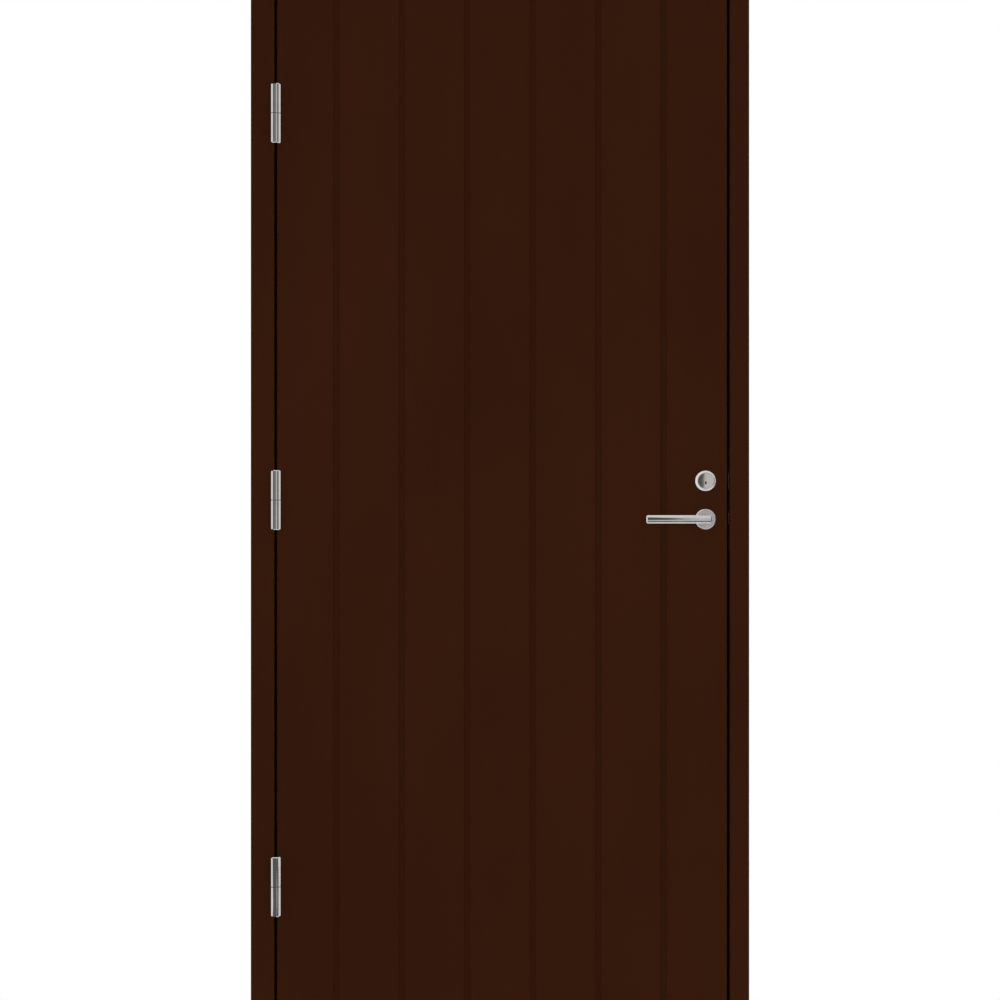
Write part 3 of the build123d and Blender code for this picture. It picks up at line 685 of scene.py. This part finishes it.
def gasket_profile():
    """Points of the section: distance from the centre line, and height above the stop."""
    middle = SEAL_HEIGHT - BULB_RADIUS
    neck = math.asin((FOOT_CROWN - middle) / BULB_RADIUS)
    turns = [neck + (math.pi - 2 * neck) * i / BULB_STEPS for i in range(BULB_STEPS + 1)]
    bulb = [(BULB_RADIUS * math.cos(t), middle + BULB_RADIUS * math.sin(t)) for t in turns]
    half = SEAL_WIDTH / 2
    return [(-half, 0.0), (half, 0.0), (half, FOOT_EDGE), *bulb, (-half, FOOT_EDGE)]


profile = gasket_profile()
print("gasket section:", len(profile), "points,", round(MM_PER_M * SEAL_HEIGHT, 1), "mm high")

# %% Rubber
RUBBER_DARK, RUBBER_BLOOM = (0.016, 0.011, 0.009), (0.024, 0.017, 0.014)
RUBBER_SHEEN = 0.15
RUBBER_GRAIN_DEPTH = 0.00003

rubber = Finish("seal_rubber")
rubber_bloom = rubber.noise((14.0, 14.0, 14.0))
rubber_grain = rubber.noise((1500.0, 1500.0, 1500.0), detail=2.0)
rubber.colour(rubber.blend(rubber_bloom, RUBBER_DARK, RUBBER_BLOOM))
rubber.rough(rubber.remap(rubber_grain, 0.55, 0.72))
rubber.normal(rubber.bump(rubber_grain, RUBBER_GRAIN_DEPTH))
rubber.set("Specular IOR Level", RUBBER_SHEEN)
print(rubber.material.name, "mixed")

# %% Helpers for pieces


def ring_mesh(name, rings):
    """Skins a row of rings of points, each as long as the next, and closes both ends."""
    shell = bmesh.new()
    rows = [[shell.verts.new(point) for point in ring] for ring in rings]
    for low, high in zip(rows, rows[1:]):
        for i in range(len(low)):
            j = (i + 1) % len(low)
            shell.faces.new((low[i], low[j], high[j], high[i]))
    shell.faces.new(rows[0][::-1])
    shell.faces.new(rows[-1])
    bmesh.ops.recalc_face_normals(shell, faces=shell.faces)
    mesh = bpy.data.meshes.new(name)
    shell.to_mesh(mesh)
    shell.free()
    return mesh


def smooth(piece, sharp_degrees):
    """Rounds the shading of a piece, apart from edges sharper than the angle."""
    piece.data.shade_smooth()
    piece.data.set_sharp_from_angle(angle=math.radians(sharp_degrees))


def fit_piece(piece, body, finish):
    """Gives a piece its finish and lets it ride on a body of the door."""
    piece.data.materials.append(finish.material)
    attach(piece, body)


# %% Gaskets
GASKET_EDGE = 40.0


def middle_of(seal, axis):
    return (seal[0][axis] + seal[1][axis]) / 2


LEFT, RIGHT = middle_of(hinge_seal, 0), middle_of(lock_seal, 0)
LOW, HIGH = middle_of(threshold_seal, 2), middle_of(head_seal, 2)


def mitred_corner(x, z, to_right, to_top):
    """The gasket's section in a corner, where two centre lines meet; inwards is positive."""
    return [(x + to_right * a, STOP_Y - h, z + to_top * a) for a, h in profile]


CORNERS = {
    "low_left": mitred_corner(LEFT, LOW, 1, 1),
    "low_right": mitred_corner(RIGHT, LOW, -1, 1),
    "high_left": mitred_corner(LEFT, HIGH, 1, -1),
    "high_right": mitred_corner(RIGHT, HIGH, -1, -1),
}
GASKETS = {
    "hinge_side_seal": ("low_left", "high_left"),
    "lock_side_seal": ("low_right", "high_right"),
    "head_seal": ("high_left", "high_right"),
    "threshold_seal": ("low_left", "low_right"),
}
for node, (start, end) in GASKETS.items():
    name = node.replace("seal", "gasket")
    gasket = new_object(name, ring_mesh(name, [CORNERS[start], CORNERS[end]]))
    smooth(gasket, GASKET_EDGE)
    fit_piece(gasket, "frame", rubber)
    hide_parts(node)
print("gaskets:", len(GASKETS))

# %% [markdown]
# ## Screws
# The blades, plates and the strip are held by raised countersunk screws with a cross recess. Each
# is a stack of rings: round ones for the crowned head, then four-lobed ones that step down into
# the recess. The screws of one set are joined in one mesh, set on the face that they hold.

# %% Screw head
HEAD_POINTS = 40
CROWN = [(1.0, -0.25), (1.0, 0.22), (0.97, 0.36), (0.86, 0.62), (0.70, 0.84), (0.56, 0.95)]
RECESS = [(0.50, 0.96), (0.46, 0.55), (0.36, 0.12)]
CROWN_RISE = 0.20
CROSS_LOBES, CROSS_WAIST, CROSS_SHARPNESS = 4, 0.34, 2.5


def round_ring(radius, height):
    turns = [2 * math.pi * i / HEAD_POINTS for i in range(HEAD_POINTS)]
    return [Vector((radius * math.cos(t), radius * math.sin(t), height)) for t in turns]


def lobed_ring(reach, height, lobes, waist, sharpness):
    """A ring with lobes, which narrows to the waist between them."""
    points = []
    for i in range(HEAD_POINTS):
        t = 2 * math.pi * i / HEAD_POINTS
        swell = abs(math.cos(lobes * t / 2)) ** sharpness
        r = reach * (waist + (1 - waist) * swell)
        points.append(Vector((r * math.cos(t), r * math.sin(t), height)))
    return points


def screw_head(radius):
    """Rings of a crowned head with a cross recess, on a face at height 0."""
    rise = CROWN_RISE * radius
    crown = [round_ring(radius * share, rise * up) for share, up in CROWN]
    recess = [
        lobed_ring(radius * reach, rise * up, CROSS_LOBES, CROSS_WAIST, CROSS_SHARPNESS)
        for reach, up in RECESS
    ]
    return crown + recess


print("screw head:", len(CROWN) + len(RECESS), "rings of", HEAD_POINTS, "points")

# %% Screw sets
SCREW_TURN = math.radians(37.0)
TURNED_EDGE = 35.0


def joined_mesh(name, stacks):
    """One mesh from several stacks of rings."""
    joined = bmesh.new()
    for rings in stacks:
        one = ring_mesh(name, rings)
        joined.from_mesh(one)
        bpy.data.meshes.remove(one)
    mesh = bpy.data.meshes.new(name)
    joined.to_mesh(mesh)
    joined.free()
    return mesh


def seated(rings, number, point, outward):
    """A stack of rings on its seat, each turned further than the one before it."""
    turn = Vector(outward).to_track_quat("Z", "Y").to_matrix().to_4x4()
    seat = Matrix.Translation(point) @ turn @ Matrix.Rotation(SCREW_TURN * number, 4, "Z")
    return [[seat @ p for p in ring] for ring in rings]


def set_on_faces(name, rings, seats, body, finish):
    """Copies a stack of rings to each seat, a point and its outward direction, as one piece."""
    stacks = [seated(rings, number, *seat) for number, seat in enumerate(seats)]
    piece = new_object(name, joined_mesh(name, stacks))
    smooth(piece, TURNED_EDGE)
    fit_piece(piece, body, finish)
    print(name, len(seats), "set,", len(piece.data.polygons), "faces")


screw_steel = satin_steel("steel_screw_heads", (700.0, 700.0, 700.0), 0.26, 0.38)
print(screw_steel.material.name, "mixed")

# %% [markdown]
# ## Hinge screws
# Three screws hold each blade of a hinge. They show only while the door stands open: one set in the
# leaf's edge, the other across the gap in the rebate. A hinge is the same either way up, so the
# frame's blade is found by mirroring the leaf's about the middle of the hinge.

# %% Hinge screws
BLADE_SCREW = 0.0042
BLADE_SEATS = [(-0.0425, -0.0155), (-0.0425, 0.0155), (-0.0305, 0.0)]
LEAF_GAP = 0.0052
LEAF_EDGE_X = outer_low[0]
REBATE_X = LEAF_EDGE_X - LEAF_GAP
blade_head = screw_head(BLADE_SCREW)
for half, blade_x, way in (("leaf", LEAF_EDGE_X, -1), ("frame", REBATE_X, 1)):
    blade_seats = []
    for hinge_place in HINGE_PLACES:
        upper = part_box(f"{hinge_place}_hinge_leaf_half")
        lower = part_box(f"{hinge_place}_hinge_frame_half")
        upper_blade_z = (upper[0][2] + upper[1][2]) / 2
        blade_z = upper_blade_z if half == "leaf" else lower[0][2] + upper[1][2] - upper_blade_z
        blade_seats += [((blade_x, y, blade_z + up), (way, 0.0, 0.0)) for y, up in BLADE_SEATS]
    set_name = f"hinge_screws_in_{half}"
    set_on_faces(set_name, blade_head, blade_seats, half, screw_steel)

# %% [markdown]
# ## Plate and strip screws
# The lock's forend and the strike plate have a screw near each end, and the threshold strip has a
# row of them. The leaf's edge is planed at a slant so that it clears the frame, and the screws of
# the forend stand square to that slant.

# %% Plate and strip screws
PLATE_SCREW = 0.0042
PLATE_SCREW_INSET = 0.009
FOREND_X = 0.44955
LEAF_DEPTH, EDGE_SLANT = 0.0400, 0.0025
forend_low, forend_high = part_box("mortise_lock")
strike_low, strike_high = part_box("strike_plate")
forend_outward = Vector((LEAF_DEPTH, EDGE_SLANT, 0.0)).normalized()
forend_y = (strike_low[1] + strike_high[1]) / 2
forend_seats = [
    ((FOREND_X, forend_y, z), forend_outward)
    for z in (forend_low[2] + PLATE_SCREW_INSET, forend_high[2] - PLATE_SCREW_INSET)
]
strike_seats = [
    ((strike_low[0], forend_y, z), (-1.0, 0.0, 0.0))
    for z in (strike_low[2] + PLATE_SCREW_INSET, strike_high[2] - PLATE_SCREW_INSET)
]
plate_head = screw_head(PLATE_SCREW)
set_on_faces("forend_screws", plate_head, forend_seats, "leaf", screw_steel)
set_on_faces("strike_screws", plate_head, strike_seats, "frame", screw_steel)

STRIP_SCREW = 0.0038
STRIP_SCREWS = 5
STRIP_END = 0.045
strip_low, strip_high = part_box("threshold_strip")
strip_span = strip_high[0] - strip_low[0] - 2 * STRIP_END
strip_y = (strip_low[1] + strip_high[1]) / 2
strip_xs = [
    strip_low[0] + STRIP_END + strip_span * i / (STRIP_SCREWS - 1)
    for i in range(STRIP_SCREWS)
]
strip_seats = [((x, strip_y, strip_high[2]), (0, 0, 1)) for x in strip_xs]
strip_head = screw_head(STRIP_SCREW)
set_on_faces("strip_screws", strip_head, strip_seats, "frame", screw_steel)

# %% [markdown]
# ## Cover plugs
# Long screws hold the frame in the wall, and brown plugs close their holes on the inside of the
# jambs. A plug is a low cap with a rounded rim. The holes are where the record's bolt patterns
# put them, so each plug finds its seat from there and from the jamb's inner face.

# %% Plugs
PLUG_RADIUS = 0.0095
# The stem that goes into the hole, then the cap: shares of the radius, and heights
PLUG_STEM = [(0.70, -0.004), (0.70, 0.0)]
PLUG_RIM = [(1.0, 0.0), (1.0, 0.0006), (0.97, 0.0011), (0.88, 0.0015)]
PLUG_CROWN = [(0.62, 0.0018), (0.25, 0.0019)]
plug_section = PLUG_STEM + PLUG_RIM + PLUG_CROWN
plug_rings = [round_ring(PLUG_RADIUS * share, height) for share, height in plug_section]
plug_seats = []
for mount in frame["record"]["mounts"]:
    if mount["kind"] != "bolt_pattern":
        continue
    x, y, z = mount["pos_m"]
    reach = mount["dims"]["spacing_y_mm"] / MM_PER_M / 2
    inner_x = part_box("hinge_jamb")[1][0] if x < 0 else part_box("lock_jamb")[0][0]
    inward = (1.0, 0.0, 0.0) if x < 0 else (-1.0, 0.0, 0.0)
    plug_seats += [((inner_x, y, z - reach), inward), ((inner_x, y, z + reach), inward)]
plug_paint = brown_paint("paint_on_plugs", (300.0, 300.0, 300.0), 0.00002)
set_on_faces("frame_screw_plugs", plug_rings, plug_seats, "frame", plug_paint)

# %% [markdown]
# ## Grub screws
# Each lever is locked to the spindle by a small socket screw under its neck. It is a collar that
# sits in the round of the neck, with a six-sided socket.

# %% Grub screws
GRUB_RADIUS = 0.0026
NECK_RADIUS = 0.007
GRUB_FROM_ROSE = 0.006
GRUB_CAP = [(1.0, -0.0006), (1.0, 0.0001), (0.86, 0.00025), (0.62, 0.00025)]
GRUB_SOCKET = [(0.56, 0.00024), (0.52, 0.00005)]
SOCKET_SIDES, SOCKET_WAIST, SOCKET_SHARPNESS = 6, 0.88, 1.0
lever_joint = frame["joints"][1]["pos_m"]
rose_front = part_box("outside_rose")[0][1]
grub_y = rose_front - GRUB_FROM_ROSE
grub_rings = [round_ring(GRUB_RADIUS * share, height) for share, height in GRUB_CAP]
grub_rings += [
    lobed_ring(GRUB_RADIUS * reach, height, SOCKET_SIDES, SOCKET_WAIST, SOCKET_SHARPNESS)
    for reach, height in GRUB_SOCKET
]
grub_seats = [
    ((lever_joint[0], y, lever_joint[2] - NECK_RADIUS), (0.0, 0.0, -1.0))
    for y in (grub_y, 2 * lever_joint[1] - grub_y)
]
set_on_faces("lever_grub_screws", grub_rings, grub_seats, "handle", screw_steel)

# %% [markdown]
# ## Lock face
# The lock's face is a very flat dome, turned and polished together with the plug, so that the two
# mirror the room as one. The solids have few facets there, and a mirror shows each of them. So both
# pieces are drawn again with closer rings on the same dome: from the rim of the lock to the bore
# of the plug, and from the rim of the plug to its keyhole.

# %% Lock face
KEYHOLE_WIDTH, KEYHOLE_HEIGHT, KEYHOLE_DEPTH = 0.0030, 0.0055, 0.0120
DOME_RISE = 0.0003
PLUG_PLAY = 0.00015
FACE_POINTS = 96
FACE_RINGS = 12
face_low, face_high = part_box("lock_cylinder")
plug_low, plug_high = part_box("cylinder_plug")
face_x, face_z = (face_low[0] + face_high[0]) / 2, (face_low[2] + face_high[2]) / 2
plug_x, plug_z = (plug_low[0] + plug_high[0]) / 2, (plug_low[2] + plug_high[2]) / 2
face_radius, key_plug_radius = (face_high[0] - face_low[0]) / 2, (plug_high[0] - plug_low[0]) / 2
dome_radius = (face_radius**2 + DOME_RISE**2) / (2 * DOME_RISE)
face_turns = [2 * math.pi * i / FACE_POINTS for i in range(FACE_POINTS)]


def circle_on_face(x, z, radius):
    return [Vector((x + radius * math.cos(t), z + radius * math.sin(t))) for t in face_turns]


def keyhole_on_face():
    """The keyhole's outline, with as many points as the circles."""
    points = []
    for t in face_turns:
        reach = 0.5 / max(abs(math.cos(t)) / KEYHOLE_WIDTH, abs(math.sin(t)) / KEYHOLE_HEIGHT)
        points.append(Vector((plug_x + reach * math.cos(t), plug_z + reach * math.sin(t))))
    return points


def at_depth(outline, y):
    return [(x, y, z) for x, z in outline]


def on_dome(outline):
    """Lays an outline on the dome, whose top is at the plug's foremost point."""
    top_y = plug_low[1]
    distances = [(x - face_x)**2 + (z - face_z)**2 for x, z in outline]
    heights = [top_y + dome_radius - math.sqrt(dome_radius**2 - d) for d in distances]
    return [(x, y, z) for (x, z), y in zip(outline, heights)]


def domed_piece(name, node, rim, hole, back_y, hole_y, finish):
    """A turned piece with a domed face between its rim and a hole, in place of a node."""
    shares = [i / FACE_RINGS for i in range(FACE_RINGS + 1)]
    face = [on_dome([a.lerp(b, share) for a, b in zip(rim, hole)]) for share in shares]
    rings = [at_depth(rim, back_y), *face, at_depth(hole, hole_y)]
    piece = new_object(name, ring_mesh(name, rings))
    smooth(piece, TURNED_EDGE)
    fit_piece(piece, "leaf", finish)
    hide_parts(node)
    print(name, len(piece.data.polygons), "faces")


key_plug_rim = circle_on_face(plug_x, plug_z, key_plug_radius)
plug_bore = circle_on_face(plug_x, plug_z, key_plug_radius + PLUG_PLAY)
face_rim = circle_on_face(face_x, face_z, face_radius)
domed_piece("domed_lock_face", "lock_cylinder", face_rim, plug_bore, face_high[1], plug_high[1],
            polished_steel)
domed_piece("domed_key_plug", "cylinder_plug", key_plug_rim, keyhole_on_face(), plug_high[1],
            plug_low[1] + KEYHOLE_DEPTH, nickel)

# %% [markdown]
# ## Keyway
# A key finds its way past wards: ribs that leave a crooked slot. From outside the slot is a small
# dark hole, so its back and its two ribs are modelled just behind the plug's face, in brass that is
# darkened by grease and painted nearly black: painted shade for the depth of the slot.

# %% Keyway
KEYWAY_FIT = 0.00002
WARD_REACH, WARD_HEIGHT, WARD_RISE = 0.0012, 0.0011, 0.0011
WARD_FRONT, BACK_FRONT, KEYWAY_END = 0.0008, 0.0026, 0.0110
# Nearly black: grease on the brass, and painted shade for the deep slot.
GREASE_AND_SHADE_BRASS = (0.030, 0.026, 0.020)
half_width = KEYHOLE_WIDTH / 2 - KEYWAY_FIT
half_height = KEYHOLE_HEIGHT / 2 - KEYWAY_FIT


def keyway_block(left, right, low, high, front):
    """Two rings of corners round a block in the keyhole; places count from its middle."""
    outline = ((left, low), (right, low), (right, high), (left, high))
    corners = [(plug_x + x, plug_z + z) for x, z in outline]
    return [at_depth(corners, plug_low[1] + y) for y in (front, KEYWAY_END)]


ward_low, ward_high = WARD_RISE, WARD_RISE + WARD_HEIGHT
keyway_blocks = [
    keyway_block(-half_width, half_width, -half_height, half_height, BACK_FRONT),
    keyway_block(-half_width, WARD_REACH - half_width, ward_low, ward_high, WARD_FRONT),
    keyway_block(half_width - WARD_REACH, half_width, -ward_high, -ward_low, WARD_FRONT),
]
keyway = new_object("keyway_wards", joined_mesh("keyway_wards", keyway_blocks))
grease_and_shade_brass = satin_steel("grease_and_shade_brass", (900.0, 900.0, 900.0), 0.45, 0.60, tone=GREASE_AND_SHADE_BRASS)
fit_piece(keyway, "leaf", grease_and_shade_brass)
print("keyway blocks:", len(keyway_blocks))
